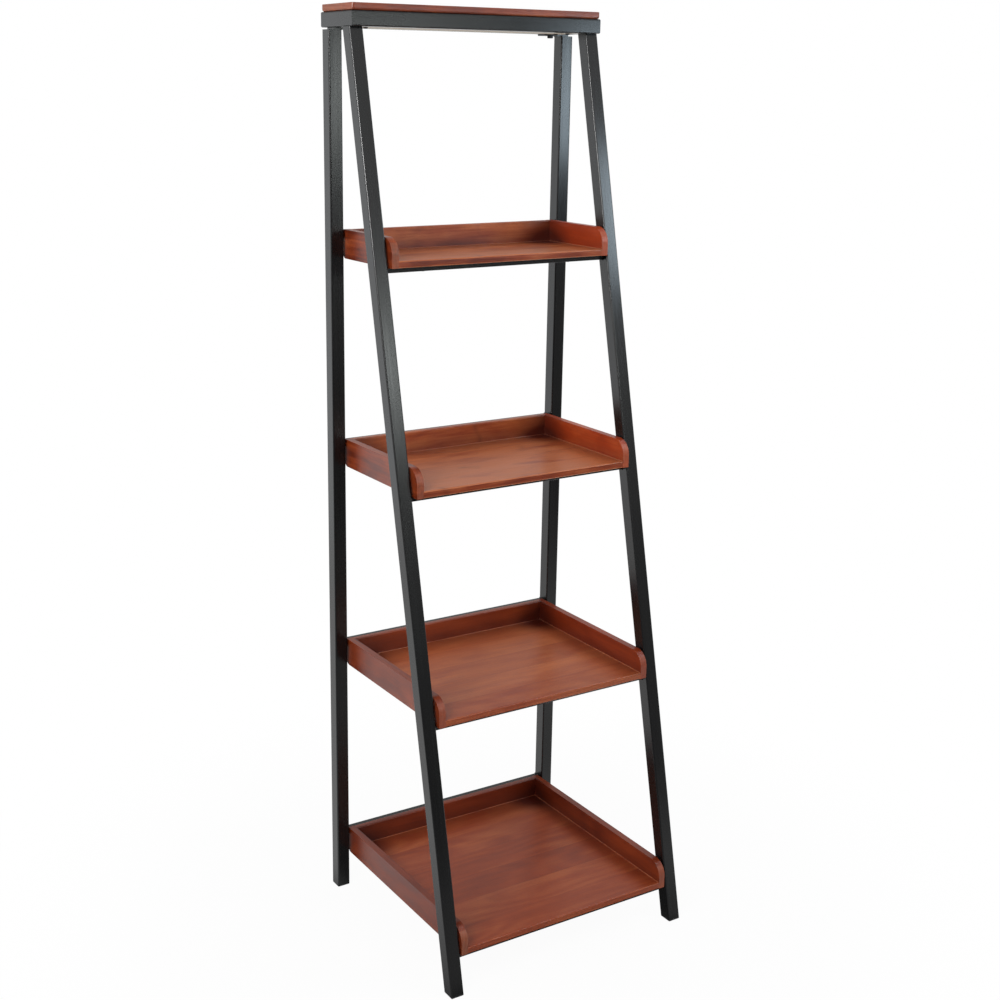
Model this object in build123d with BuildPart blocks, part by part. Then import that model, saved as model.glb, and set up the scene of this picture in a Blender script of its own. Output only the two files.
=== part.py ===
from build123d import *
import os
from math import atan, cos, sqrt

# Ladder shelf: four open-fronted wooden trays hang between a slanted front ladder and an
# upright rear ladder of square steel tube, under a narrow wooden top in a welded tube frame.
# Millimetres. +X is the viewer's right, +Y is towards the wall, +Z is up.
# The origin is on the floor, in the middle of the shelf's outline.

os.makedirs("parts", exist_ok=True)

# ---------------------------------------------------------------- driving dimensions
# Square tube of the legs and of the top frame
tube = 25.0
tube_wall = 1.5
tube_corner = 2.5

# The two ladders
shelf_width = 500.0
shelf_depth = 447.5  # from the toes of the front legs to the back of the rear legs
frame_height = 1597.0  # floor to the underside of the top frame
front_leg_lean = 348.5  # how far the front legs lean back over the frame height

# Top frame, finished top board and the core board inside the frame
top_front_overhang = 9.0  # in front of the front legs' upper ends
top_back_overhang = 3.0  # behind the rear legs
board_thickness = 12.0
board_inset = 0.5  # from the outside of the frame
board_corner = 5.0
board_upper_edge = 1.0
board_lower_edge = 4.0
core_gap = 0.3  # between the core board and the frame around it

# Trays, numbered from the uppermost. A level is the underside's height above the floor, and a
# reach is how far the tray stands out in front of the leaning legs' front faces at its level.
tray_1_level = 1212.0
tray_1_reach = 7.0
tray_2_level = 838.0
tray_2_reach = 10.4
tray_3_level = 455.0
tray_3_reach = 3.8
tray_4_level = 66.0
tray_4_reach = -1.1
tray_height = 50.0
tray_side_gap = 3.5  # between a tray and the legs' inner faces
tray_back_setback = 14.0  # from the back of the rear legs to the back of the trays
side_panel = 13.0
back_panel = 12.0
floor_panel = 12.0
panel_edge = 1.6  # bevel along the trays' exposed edges
side_front_radius = 28.0
heel_radius = 10.0  # lower back corner of the trays

# Cross bars that carry the trays
front_bar = 9.5
front_bar_setback = 11.0  # behind the front face of the front legs, at the bar's top
rear_bar = 12.5
rear_bar_drop = 2.5  # below the trays' upper edges
bar_wall = 1.2
bar_corner = 1.2

# Bracket that ties each rear leg to the top frame
bracket_thickness = 3.0
bracket_width = 21.0
bracket_reach = 37.0  # past the leg's inner face
bracket_lap = 16.0  # over the leg's upper end
bolt_offset = 17.0  # from the leg's inner face
bolt = 6.0
bolt_fit = 0.05  # around the bolt
bolt_length = 12.0
bolt_head_height = 4.0
bolt_head_width = 10.0
bolt_head_edge = 0.8

# Plastic end caps on the legs
foot_flange = 3.0
foot_edge = 0.8
plug_depth = 14.0
plug_fit = 0.1

# ---------------------------------------------------------------- what follows from them
toe_y = -(shelf_depth + top_back_overhang) / 2
rear_back_y = toe_y + shelf_depth
rear_leg_y = rear_back_y - tube / 2
lean = front_leg_lean / frame_height
slant = atan(lean)
foot_y = toe_y + tube / cos(slant) / 2
foot_run_out = tube / cos(slant)  # how far a front leg is drawn below the floor, to be cut off
leg_run = foot_run_out + (frame_height + tube) / cos(slant)
leg_x = (shelf_width - tube) / 2
leg_inner_x = shelf_width / 2 - tube
bar_length = 2 * leg_inner_x
tube_bore = tube - 2 * tube_wall
plug_width = tube_bore - 2 * plug_fit

top_front_y = toe_y + front_leg_lean - top_front_overhang
top_back_y = rear_back_y + top_back_overhang
top_depth = top_back_y - top_front_y
top_mid_y = (top_front_y + top_back_y) / 2
rail_z = frame_height + tube / 2
board_z = frame_height + tube
board_length = shelf_width - 2 * board_inset
board_depth = top_depth - 2 * board_inset
core_depth = top_depth - 2 * tube - 2 * core_gap

tray_levels = [tray_1_level, tray_2_level, tray_3_level, tray_4_level]
tray_reaches = [tray_1_reach, tray_2_reach, tray_3_reach, tray_4_reach]
tray_back_y = rear_back_y - tray_back_setback
side_inner_x = leg_inner_x - tray_side_gap - side_panel

bracket_z = frame_height - bracket_thickness
bracket_length = bracket_reach + bracket_lap
bracket_x = leg_inner_x + (bracket_lap - bracket_reach) / 2
bolt_x = leg_inner_x - bolt_offset

sides = {"left": -1, "right": 1}


def leaning_plane(sign):
    """Plane square to a front leg, on the leg's middle line and below the floor."""
    foot = Plane((sign * leg_x, foot_y, 0), x_dir=(1, 0, 0), z_dir=(0, lean, 1))
    return foot.offset(-foot_run_out)


# ---------------------------------------------------------------- legs and their end caps
for side, sign in sides.items():
    with BuildPart() as front_leg:
        with BuildSketch(leaning_plane(sign)):
            RectangleRounded(tube, tube, tube_corner)
            Rectangle(tube_bore, tube_bore, mode=Mode.SUBTRACT)
        extrude(amount=leg_run)
        split(bisect_by=Plane.XY.offset(foot_flange), keep=Keep.TOP)
        split(bisect_by=Plane.XY.offset(frame_height), keep=Keep.BOTTOM)
    front_leg.part.label = f"front_leg_{side}"
    export_step(front_leg.part, f"parts/front_leg_{side}.step")

    with BuildPart() as front_foot:
        with BuildSketch(leaning_plane(sign)):
            RectangleRounded(tube, tube, tube_corner)
        extrude(amount=leg_run)
        split(bisect_by=Plane.XY.offset(foot_flange), keep=Keep.BOTTOM)
        with BuildSketch(leaning_plane(sign)):
            Rectangle(plug_width, plug_width)
        extrude(amount=foot_run_out + foot_flange + plug_depth)
        split(bisect_by=Plane.XY, keep=Keep.TOP)
        chamfer(front_foot.edges().group_by(Axis.Z)[0], foot_edge)
    front_foot.part.label = f"front_foot_{side}"
    export_step(front_foot.part, f"parts/front_foot_{side}.step")

    with BuildPart() as rear_leg:
        with BuildSketch(Plane.XY.offset(foot_flange)):
            with Locations((sign * leg_x, rear_leg_y)):
                RectangleRounded(tube, tube, tube_corner)
                Rectangle(tube_bore, tube_bore, mode=Mode.SUBTRACT)
        extrude(amount=bracket_z - foot_flange)
    rear_leg.part.label = f"rear_leg_{side}"
    export_step(rear_leg.part, f"parts/rear_leg_{side}.step")

    with BuildPart() as rear_foot:
        with BuildSketch(Plane.XY):
            with Locations((sign * leg_x, rear_leg_y)):
                RectangleRounded(tube, tube, tube_corner)
        extrude(amount=foot_flange)
        chamfer(rear_foot.edges().group_by(Axis.Z)[0], foot_edge)
        with BuildSketch(Plane.XY.offset(foot_flange)):
            with Locations((sign * leg_x, rear_leg_y)):
                Rectangle(plug_width, plug_width)
        extrude(amount=plug_depth)
    rear_foot.part.label = f"rear_foot_{side}"
    export_step(rear_foot.part, f"parts/rear_foot_{side}.step")

# ---------------------------------------------------------------- top frame: four mitred tubes
# Each rail is drawn on its end plane and cut at 45 degrees through the frame's outer corners.
# Outward is the plan direction from a rail to the outside of the frame.
for place, outward in {"front": -1, "back": 1}.items():
    outer_y = top_mid_y + outward * top_depth / 2
    rail_start = (-shelf_width / 2, outer_y - outward * tube / 2, rail_z)
    with BuildPart() as long_rail:
        with BuildSketch(Plane(rail_start, x_dir=(0, 1, 0), z_dir=(1, 0, 0))):
            RectangleRounded(tube, tube, tube_corner)
            Rectangle(tube_bore, tube_bore, mode=Mode.SUBTRACT)
        extrude(amount=shelf_width)
        for end in sides.values():
            mitre = Plane((end * shelf_width / 2, outer_y, rail_z), z_dir=(end, -outward, 0))
            split(bisect_by=mitre, keep=Keep.BOTTOM)
        if place == "back":
            with BuildSketch(Plane.XY.offset(frame_height)):
                with Locations((-bolt_x, rear_leg_y), (bolt_x, rear_leg_y)):
                    Circle(bolt / 2 + bolt_fit)
            extrude(amount=tube / 2, mode=Mode.SUBTRACT)
    long_rail.part.label = f"top_{place}_rail"
    export_step(long_rail.part, f"parts/top_{place}_rail.step")

for side, sign in sides.items():
    with BuildPart() as short_rail:
        with BuildSketch(Plane((sign * leg_x, top_front_y, rail_z), x_dir=(1, 0, 0), z_dir=(0, 1, 0))):
            RectangleRounded(tube, tube, tube_corner)
            Rectangle(tube_bore, tube_bore, mode=Mode.SUBTRACT)
        extrude(amount=top_depth)
        for corner_y, end in {top_front_y: -1, top_back_y: 1}.items():
            mitre = Plane((sign * shelf_width / 2, corner_y, rail_z), z_dir=(-sign, end, 0))
            split(bisect_by=mitre, keep=Keep.BOTTOM)
    short_rail.part.label = f"top_{side}_rail"
    export_step(short_rail.part, f"parts/top_{side}_rail.step")

# ---------------------------------------------------------------- wooden top and its core
with BuildPart() as top_board:
    with BuildSketch(Plane.XY.offset(board_z)):
        with Locations((0, top_mid_y)):
            RectangleRounded(board_length, board_depth, board_corner)
    extrude(amount=board_thickness)
    fillet(top_board.edges().group_by(Axis.Z)[-1], board_upper_edge)
    fillet(top_board.edges().group_by(Axis.Z)[0], board_lower_edge)
top_board.part.label = "top_board"
export_step(top_board.part, "parts/top_board.step")

with BuildPart() as top_core:
    with BuildSketch(Plane.XY.offset(frame_height)):
        with Locations((0, top_mid_y)):
            Rectangle(bar_length - 2 * core_gap, core_depth)
    extrude(amount=tube)
top_core.part.label = "top_core"
export_step(top_core.part, "parts/top_core.step")

# ---------------------------------------------------------------- brackets on the rear legs
for side, sign in sides.items():
    with BuildPart() as bracket:
        with BuildSketch(Plane.XY.offset(bracket_z)):
            with Locations((sign * bracket_x, rear_leg_y)):
                Rectangle(bracket_length, bracket_width)
            with Locations((sign * bolt_x, rear_leg_y)):
                Circle(bolt / 2 + bolt_fit, mode=Mode.SUBTRACT)
        extrude(amount=bracket_thickness)
    bracket.part.label = f"top_bracket_{side}"
    export_step(bracket.part, f"parts/top_bracket_{side}.step")

with BuildPart() as bracket_bolts:
    with BuildSketch(Plane.XY.offset(bracket_z)):
        with Locations((-bolt_x, rear_leg_y), (bolt_x, rear_leg_y)):
            RegularPolygon(bolt_head_width / sqrt(3), 6)
    extrude(amount=-bolt_head_height)
    chamfer(bracket_bolts.edges().group_by(Axis.Z)[0], bolt_head_edge)
    with BuildSketch(Plane.XY.offset(bracket_z)):
        with Locations((-bolt_x, rear_leg_y), (bolt_x, rear_leg_y)):
            Circle(bolt / 2)
    extrude(amount=bolt_length)
bracket_bolts.part.label = "bracket_bolts"
export_step(bracket_bolts.part, "parts/bracket_bolts.step")

# ---------------------------------------------------------------- cross bars and trays
for number, (level, reach) in enumerate(zip(tray_levels, tray_reaches), start=1):
    leg_face_y = toe_y + lean * level
    front_y = leg_face_y - reach
    depth = tray_back_y - front_y
    front_bar_y = leg_face_y + front_bar_setback + front_bar / 2
    rear_bar_z = level + tray_height - rear_bar_drop - rear_bar / 2

    with BuildPart() as front_cross_bar:
        bar_start = (-leg_inner_x, front_bar_y, level - front_bar / 2)
        with BuildSketch(Plane(bar_start, x_dir=(0, 1, 0), z_dir=(1, 0, 0))):
            RectangleRounded(front_bar, front_bar, bar_corner)
            Rectangle(front_bar - 2 * bar_wall, front_bar - 2 * bar_wall, mode=Mode.SUBTRACT)
        extrude(amount=bar_length)
    front_cross_bar.part.label = f"front_bar_{number}"
    export_step(front_cross_bar.part, f"parts/front_bar_{number}.step")

    with BuildPart() as rear_cross_bar:
        bar_start = (-leg_inner_x, tray_back_y + rear_bar / 2, rear_bar_z)
        with BuildSketch(Plane(bar_start, x_dir=(0, 1, 0), z_dir=(1, 0, 0))):
            RectangleRounded(rear_bar, rear_bar, bar_corner)
            Rectangle(rear_bar - 2 * bar_wall, rear_bar - 2 * bar_wall, mode=Mode.SUBTRACT)
        extrude(amount=bar_length)
    rear_cross_bar.part.label = f"rear_bar_{number}"
    export_step(rear_cross_bar.part, f"parts/rear_bar_{number}.step")

    for side, sign in sides.items():
        with BuildPart() as tray_side:
            with BuildSketch(Plane.YZ.offset(sign * side_inner_x)) as side_profile:
                with Locations((tray_back_y - depth / 2, level + tray_height / 2)):
                    Rectangle(depth, tray_height)
                upper_front_corner = side_profile.vertices().group_by(Axis.Y)[-1].sort_by(Axis.X)[0]
                fillet(upper_front_corner, side_front_radius)
                lower_back_corner = side_profile.vertices().group_by(Axis.Y)[0].sort_by(Axis.X)[-1]
                fillet(lower_back_corner, heel_radius)
            extrude(amount=sign * side_panel)
            faces_across = tray_side.faces().filter_by(Axis.X)
            rim = faces_across.edges().filter_by_position(Axis.Y, front_y, front_y + side_front_radius)
            rim += faces_across.edges().group_by(Axis.Z)[-1]
            chamfer(rim, panel_edge)
            # squared toe that meets the end of the floor's front edge
            with BuildSketch(Plane.XY.offset(level)):
                with Locations((sign * (side_inner_x + panel_edge / 2), front_y + panel_edge / 2)):
                    Rectangle(panel_edge, panel_edge)
            extrude(amount=floor_panel - panel_edge)
        tray_side.part.label = f"tray_{number}_{side}_side"
        export_step(tray_side.part, f"parts/tray_{number}_{side}_side.step")

    with BuildPart() as tray_back:
        with BuildSketch(Plane.XY.offset(level)):
            with Locations((0, tray_back_y - back_panel / 2)):
                Rectangle(2 * side_inner_x, back_panel)
        extrude(amount=tray_height)
        lower_back_edge = tray_back.edges().filter_by(Axis.X).group_by(Axis.Z)[0].sort_by(Axis.Y)[-1]
        fillet(lower_back_edge, heel_radius)
        chamfer(tray_back.edges().filter_by(Axis.X).group_by(Axis.Z)[-1], panel_edge)
    tray_back.part.label = f"tray_{number}_back"
    export_step(tray_back.part, f"parts/tray_{number}_back.step")

    with BuildPart() as tray_floor:
        with BuildSketch(Plane.XY.offset(level)):
            with Locations((0, (front_y + tray_back_y - back_panel) / 2)):
                Rectangle(2 * side_inner_x, depth - back_panel)
        extrude(amount=floor_panel)
        upper_front_edge = tray_floor.edges().filter_by(Axis.X).group_by(Axis.Y)[0].sort_by(Axis.Z)[-1]
        chamfer(upper_front_edge, panel_edge)
    tray_floor.part.label = f"tray_{number}_floor"
    export_step(tray_floor.part, f"parts/tray_{number}_floor.step")
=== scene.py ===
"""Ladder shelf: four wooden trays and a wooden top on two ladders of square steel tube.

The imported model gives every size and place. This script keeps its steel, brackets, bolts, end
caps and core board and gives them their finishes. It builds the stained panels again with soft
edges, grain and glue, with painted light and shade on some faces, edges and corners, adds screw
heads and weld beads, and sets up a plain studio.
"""
import logging
import math
from dataclasses import dataclass
from enum import Enum
from typing import Callable, Iterable, Sequence

import bmesh
import bpy
from mathutils import Matrix, Vector


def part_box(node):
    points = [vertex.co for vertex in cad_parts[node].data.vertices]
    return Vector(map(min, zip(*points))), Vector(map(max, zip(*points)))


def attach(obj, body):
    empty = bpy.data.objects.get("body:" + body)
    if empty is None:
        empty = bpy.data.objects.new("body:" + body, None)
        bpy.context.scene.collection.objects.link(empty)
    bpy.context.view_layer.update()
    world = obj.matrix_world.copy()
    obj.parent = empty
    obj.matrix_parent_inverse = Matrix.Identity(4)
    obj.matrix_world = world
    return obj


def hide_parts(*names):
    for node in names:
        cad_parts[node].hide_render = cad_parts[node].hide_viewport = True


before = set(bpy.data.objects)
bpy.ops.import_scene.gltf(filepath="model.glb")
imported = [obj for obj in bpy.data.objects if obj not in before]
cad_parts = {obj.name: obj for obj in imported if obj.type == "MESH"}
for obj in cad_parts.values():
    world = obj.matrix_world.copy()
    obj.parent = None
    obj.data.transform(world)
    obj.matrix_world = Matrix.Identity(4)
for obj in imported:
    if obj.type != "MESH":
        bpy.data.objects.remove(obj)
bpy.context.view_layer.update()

LOG = logging.getLogger("ladder_shelf")
MM = 0.001
TOUCH = 0.1 * MM
LEG_TUBE = 25 * MM
EDGE_RADIUS = 2.2 * MM
STAVE = 70 * MM
BODY = "root"
TRAYS = range(1, 5)
SIDES = ("left", "right")

Point = tuple[float, float]
Triple = tuple[float, float, float]
Colour = tuple[float, float, float]
Socket = bpy.types.NodeSocket
Material = bpy.types.Material
Piece = bpy.types.Object
WHITE: Colour = (1.0, 1.0, 1.0)
UP, DOWN = Vector((0, 0, 1)), Vector((0, 0, -1))

SCREEN_TOE, SCREEN_SLOPE = 0.04045, 12.92
SCREEN_LIFT, SCREEN_POWER = 0.055, 2.4


def paint(red: int, green: int, blue: int) -> Colour:
    """Turns a colour written as screen values into the linear values that shaders take.

    Args:
        red: Red from 0 to 255.
        green: Green from 0 to 255.
        blue: Blue from 0 to 255.

    Returns:
        The linear colour.
    """

    def linear(level: int) -> float:
        """Undoes the screen curve for one channel.

        Args:
            level: The channel from 0 to 255.

        Returns:
            The linear share.
        """
        share = level / 255
        if share <= SCREEN_TOE:
            return share / SCREEN_SLOPE
        return ((share + SCREEN_LIFT) / (1 + SCREEN_LIFT)) ** SCREEN_POWER

    return linear(red), linear(green), linear(blue)


# ------------------------ node graphs
Method = Callable[["Signal", "Signal | float"], "Signal"]


def arithmetic(operation: str, turned: bool = False) -> Method:
    """Makes the method behind one sign of arithmetic.

    Args:
        operation: Blender's name for the operation.
        turned: Whether the signal stands on the right.

    Returns:
        The method.
    """

    def method(signal: "Signal", other: "Signal | float") -> "Signal":
        """Works out the signal and the other number or signal."""
        return signal.graph.sum_of(operation, *((other, signal) if turned else (signal, other)))

    return method


@dataclass(frozen=True)
class Mask:
    """The stretch over which a mask rises, and how strong it then is."""

    low: float
    high: float
    strength: float


class Signal:
    """A value on its way through a node tree, which takes ordinary arithmetic."""

    __add__, __radd__ = arithmetic("ADD"), arithmetic("ADD", turned=True)
    __sub__, __rsub__ = arithmetic("SUBTRACT"), arithmetic("SUBTRACT", turned=True)
    __mul__, __rmul__ = arithmetic("MULTIPLY"), arithmetic("MULTIPLY", turned=True)
    __truediv__ = arithmetic("DIVIDE")

    def __init__(self, graph: "Graph", socket: Socket) -> None:
        """Keeps the socket and the graph it belongs to."""
        self.graph = graph
        self.socket = socket

    def whole(self) -> "Signal":
        """Gives the whole part, rounded down."""
        return self.graph.sum_of("FLOOR", self)

    def wave(self) -> "Signal":
        """Gives a wave between 0 and 1 that repeats once for each whole number."""
        return self.graph.sum_of("SINE", self * math.tau) * 0.5 + 0.5

    def swing(self, width: float) -> "Signal":
        """Turns a value between 0 and 1 into a swing about 0 of the given width."""
        return (self - 0.5) * width

    def distance(self) -> "Signal":
        """Gives the size without the sign."""
        return self.graph.sum_of("ABSOLUTE", self)

    def step(self, low: float, high: float) -> "Signal":
        """Rises smoothly from 0 at low to 1 at high, or falls where low is the larger.

        Args:
            low: Value that gives 0.
            high: Value that gives 1.

        Returns:
            The eased share, kept between 0 and 1.
        """
        ends = (high, low, 1.0, 0.0) if low > high else (low, high, 0.0, 1.0)
        feeds = dict(enumerate((self, *ends)))
        ease = self.graph.node("ShaderNodeMapRange", feeds, interpolation_type="SMOOTHSTEP")
        return Signal(self.graph, ease.outputs[0])

    def mask(self, mask: Mask) -> "Signal":
        """Rises smoothly from 0 to the mask's strength."""
        return self.step(mask.low, mask.high) * mask.strength


Feed = Signal | Socket | float | int | bool | str | Sequence[float]


def between(low: Signal | float, high: Signal | float, share: Signal) -> Signal:
    """Runs from the low value to the high one with the share."""
    return low + (high - low) * share


@dataclass(frozen=True)
class Pattern:
    """Smooth noise: its cells for each metre along the three axes, and its finer layers."""

    cells: Triple
    detail: float = 2.0
    roughness: float = 0.5
    twist: float = 0.0


class Graph:
    """A node tree that is filled through one method."""

    def __init__(self, tree: bpy.types.NodeTree) -> None:
        """Empties the tree and keeps it."""
        self.tree = tree
        self.tree.nodes.clear()

    def node(
        self, kind: str, feeds: dict[str | int, Feed] | None = None, **settings: object
    ) -> bpy.types.Node:
        """Adds a node, sets it up, and then fills or links its sockets.

        Args:
            kind: Blender's name for the type of node.
            feeds: Value or source of each input, by its name or its number.
            **settings: Values of the node's own settings, where stops holds a ramp's places
                and colours.

        Returns:
            The new node.
        """
        made = self.tree.nodes.new(kind)
        for setting, value in settings.items():
            if setting == "stops":
                self._fill_ramp(made.color_ramp, value)
            else:
                setattr(made, setting, value)
        for key, feed in (feeds or {}).items():
            source = feed.socket if isinstance(feed, Signal) else feed
            if isinstance(source, Socket):
                self.tree.links.new(source, made.inputs[key])
            else:
                made.inputs[key].default_value = source
        return made

    @staticmethod
    def _fill_ramp(ramp: bpy.types.ColorRamp, stops: Sequence[tuple[float, Colour]]) -> None:
        """Gives a colour ramp its stops.

        Args:
            ramp: The ramp.
            stops: Place and colour of each stop.
        """
        while len(ramp.elements) < len(stops):
            ramp.elements.new(1.0)
        for element, (place, colour) in zip(ramp.elements, stops):
            element.position = place
            element.color = (*colour, 1.0)

    def sum_of(self, operation: str, *terms: Signal | float) -> Signal:
        """Works out one step of arithmetic, by Blender's name for it."""
        made = self.node("ShaderNodeMath", dict(enumerate(terms)), operation=operation)
        return Signal(self, made.outputs[0])

    def parts(self, vector: Socket) -> tuple[Signal, ...]:
        """Splits a vector into its three numbers."""
        made = self.node("ShaderNodeSeparateXYZ", {0: vector})
        return tuple(Signal(self, socket) for socket in made.outputs)

    def joined(self, x: Signal | float, y: Signal | float, z: Signal | float) -> Socket:
        """Makes a vector from three numbers."""
        return self.node("ShaderNodeCombineXYZ", {0: x, 1: y, 2: z}).outputs[0]

    def noise(self, place: Socket, pattern: Pattern) -> Signal:
        """Reads smooth noise, about 0.5 in the middle.

        Args:
            place: Where it is read, in metres.
            pattern: Its cells and layers.

        Returns:
            The noise.
        """
        stretch = {0: place, 1: pattern.cells}
        stretched = self.node("ShaderNodeVectorMath", stretch, operation="MULTIPLY")
        feeds = {
            "Vector": stretched.outputs[0],
            "Scale": 1.0,
            "Detail": pattern.detail,
            "Roughness": pattern.roughness,
            "Distortion": pattern.twist,
        }
        return Signal(self, self.node("ShaderNodeTexNoise", feeds).outputs[0])

    def blend(self, share: Signal, under: Socket | Colour, over: Socket | Colour) -> Socket:
        """Lays one colour over another.

        Args:
            share: How much of the upper colour shows, from 0 to 1.
            under: The lower colour.
            over: The upper colour.

        Returns:
            The mixed colour.
        """
        under, over = (side if isinstance(side, Socket) else (*side, 1.0) for side in (under, over))
        feeds = {0: share, 6: under, 7: over}
        return self.node("ShaderNodeMix", feeds, data_type="RGBA", clamp_factor=True).outputs[2]


class FinishGraph(Graph):
    """The node tree of one material."""

    def __init__(self, name: str) -> None:
        """Makes an empty material with the given name."""
        self.material = bpy.data.materials.new(name)
        self.material.use_nodes = True
        super().__init__(self.material.node_tree)

    def place(self) -> Socket:
        """Gives the place on the object, in metres."""
        return self.node("ShaderNodeTexCoord").outputs["Object"]

    def mark(self, name: str, output: str = "Vector") -> Socket:
        """Reads one of the marks that the piece's mesh carries, Fac for a single number."""
        return self.node("ShaderNodeAttribute", attribute_name=name).outputs[output]

    def relief(self, height: Signal, depth: float, strength: float) -> Socket:
        """Turns a height from 0 to 1, with its real depth and its strength, into a normal."""
        feeds = {"Height": height, "Distance": depth, "Strength": strength}
        return self.node("ShaderNodeBump", feeds).outputs[0]

    def finish(self, colour: Socket, roughness: Signal, normal: Socket, **more: float) -> Material:
        """Ends the tree in a Principled shader.

        Args:
            colour: The base colour.
            roughness: The roughness.
            normal: The bumped normal.
            **more: Values of other inputs, with _ for a space in their names.

        Returns:
            The finished material.
        """
        feeds = {"Base Color": colour, "Roughness": roughness, "Normal": normal}
        feeds.update({name.replace("_", " "): value for name, value in more.items()})
        shader = self.node("ShaderNodeBsdfPrincipled", feeds)
        self.node("ShaderNodeOutputMaterial", {"Surface": shader.outputs[0]})
        return self.material


# ------------------------ finishes
@dataclass(frozen=True)
class StainedWood:
    """Hardwood staves, stained reddish brown and lacquered to a satin sheen."""

    name: str = "stained_wood"
    stain_dark: Colour = paint(76, 22, 8)
    stain_deep: Colour = paint(116, 42, 15)
    stain_mid: Colour = paint(150, 63, 26)
    stain_light: Colour = paint(190, 105, 57)
    # Painted light: the redder colour of lit wood on a tray's right side.
    stain_fire: Colour = paint(184, 62, 16)
    stain_stops: tuple[float, ...] = (0.12, 0.36, 0.56, 0.86)
    # Lighter rounded edges: partly worn stain, partly a painted highlight.
    worn_and_lit_edge: Colour = paint(184, 102, 62)
    end_tan: Colour = paint(196, 140, 100)
    end_pink: Colour = paint(188, 112, 88)
    # Pale glue in the inner joints, partly a painted highlight along them.
    glue_and_highlight: Colour = paint(186, 108, 70)
    pore: Colour = paint(48, 20, 14)

    blotches: Pattern = Pattern((5.0, 16.0, 16.0), 3.0, 0.55, 0.6)
    clouds: Pattern = Pattern((13.0, 48.0, 48.0), 2.0, 0.5, 0.4)
    streaks: Pattern = Pattern((7.0, 190.0, 190.0), 3.0, 0.6, 0.3)
    fibres: Pattern = Pattern((26.0, 1100.0, 1100.0), 2.0, 0.6)
    pores: Pattern = Pattern((130.0, 2200.0, 2200.0), 1.0)
    knots: Pattern = Pattern((8.0, 15.0, 15.0), 2.0, 0.6, 1.2)
    sways: Pattern = Pattern((2.2, 5.0, 5.0), 2.0, 0.45)

    # How far two staves' patterns lie apart at most, and where the rings' centre lies: its least
    # place and how far it varies.
    shift_along: float = 3.0
    shift_across: float = 2.0
    pith_side: Point = (0.2, 0.6)
    pith_depth: Point = (20 * MM, 50 * MM)
    ring_pitch: float = 5.5 * MM
    ring_sway: float = 60 * MM

    # How far each pattern moves the tone.
    middle_tone: float = 0.55
    blotch_tone: float = 0.8
    cloud_tone: float = 0.4
    streak_tone: float = 0.45
    fibre_tone: float = 0.2
    ring_tone: float = 0.06
    stave_tone: float = 0.14

    # Where each colour is laid over the stain, and how strongly.
    # Least share of the painted light on a right side.
    fire_least: float = 0.35
    pore_mask: Mask = Mask(0.62, 0.74, 0.45)
    knot_edge: Point = (0.6, 0.78)
    knot_strength: float = 0.4
    seam_edge: Point = (0.4925, 0.4975)
    seam_strength: float = 0.4
    end_most: float = 0.55
    end_ring: float = 0.25
    # Lighter rounded edges, partly wear and partly a painted highlight.
    rub_least: float = 0.1
    rub_cloud: Mask = Mask(0.4, 0.7, 0.4)
    # Pale glue lines, partly a painted highlight along the joints.
    glue_cloud: Point = (0.25, 0.6)
    glue_blotch: Point = (0.3, 0.55)

    # Painted shade in a tray's inner corners, partly pooled stain: darker where panels meet,
    # deeper towards the back and the right side.
    inner_half_width: float = 208.5 * MM
    face_band: Point = (-4 * MM, -2 * MM)
    shade_pool_width: float = 85 * MM
    shade_pool_rise: float = 32 * MM
    shade_pool_reach: float = 240 * MM
    shade_pool_least: float = 0.4
    shade_pool_blotch: float = 0.7
    right_half: Point = (0.0, 0.4)
    right_deep: float = 0.75
    deep_share: float = 0.6
    floor_share: float = 0.7

    sheen: float = 0.35
    streak_sheen: float = 0.16
    cloud_sheen: float = 0.12
    end_dulling: float = 0.2
    fibre_height: float = 0.35
    pore_height: float = 0.5
    seam_height: float = -0.3
    relief: Point = (0.15 * MM, 0.35)
    specular: float = 0.5

    def build(self) -> Material:
        """Builds the material.

        Returns:
            The material, which reads the marks board, recess, stain, wear, glue and end_grain.
        """
        graph = FinishGraph(self.name)
        along, across, depth = graph.parts(graph.mark("board"))
        shade, figure, fire = graph.parts(graph.mark("stain"))
        wear, glue, end_grain = (
            Signal(graph, graph.mark(name, "Fac")) for name in ("wear", "glue", "end_grain")
        )

        number = (across / STAVE).whole()
        chance = graph.node("ShaderNodeTexWhiteNoise", {"W": number}, noise_dimensions="1D")
        chance_a, chance_b, chance_c = graph.parts(chance.outputs["Color"])
        shifted = along + chance_a * self.shift_along, across + chance_b * self.shift_across
        local = graph.joined(*shifted, depth + chance_c)
        wide = (self.blotches, self.clouds, self.streaks, self.knots, self.sways)
        blotch, cloud, streak, knot, sway = (graph.noise(local, pattern) for pattern in wide)
        fibre, pores = (graph.noise(local, pattern) for pattern in (self.fibres, self.pores))

        side_run = across - (number + self.pith_side[0] + chance_a * self.pith_side[1]) * STAVE
        down_run = depth + self.pith_depth[0] + chance_b * self.pith_depth[1]
        radius = graph.sum_of("SQRT", side_run * side_run + down_run * down_run)
        ring = ((radius + sway * self.ring_sway) / self.ring_pitch).wave()

        grain = blotch.swing(self.blotch_tone) + cloud.swing(self.cloud_tone)
        grain = grain + streak.swing(self.streak_tone) + fibre.swing(self.fibre_tone)
        tone = self.middle_tone + shade + figure * grain
        tone = tone + ring.swing(self.ring_tone) + chance_c.swing(self.stave_tone)
        stains = (self.stain_dark, self.stain_deep, self.stain_mid, self.stain_light)
        stops = tuple(zip(self.stain_stops, stains))
        colour = graph.node("ShaderNodeValToRGB", {0: tone}, stops=stops).outputs[0]

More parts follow.
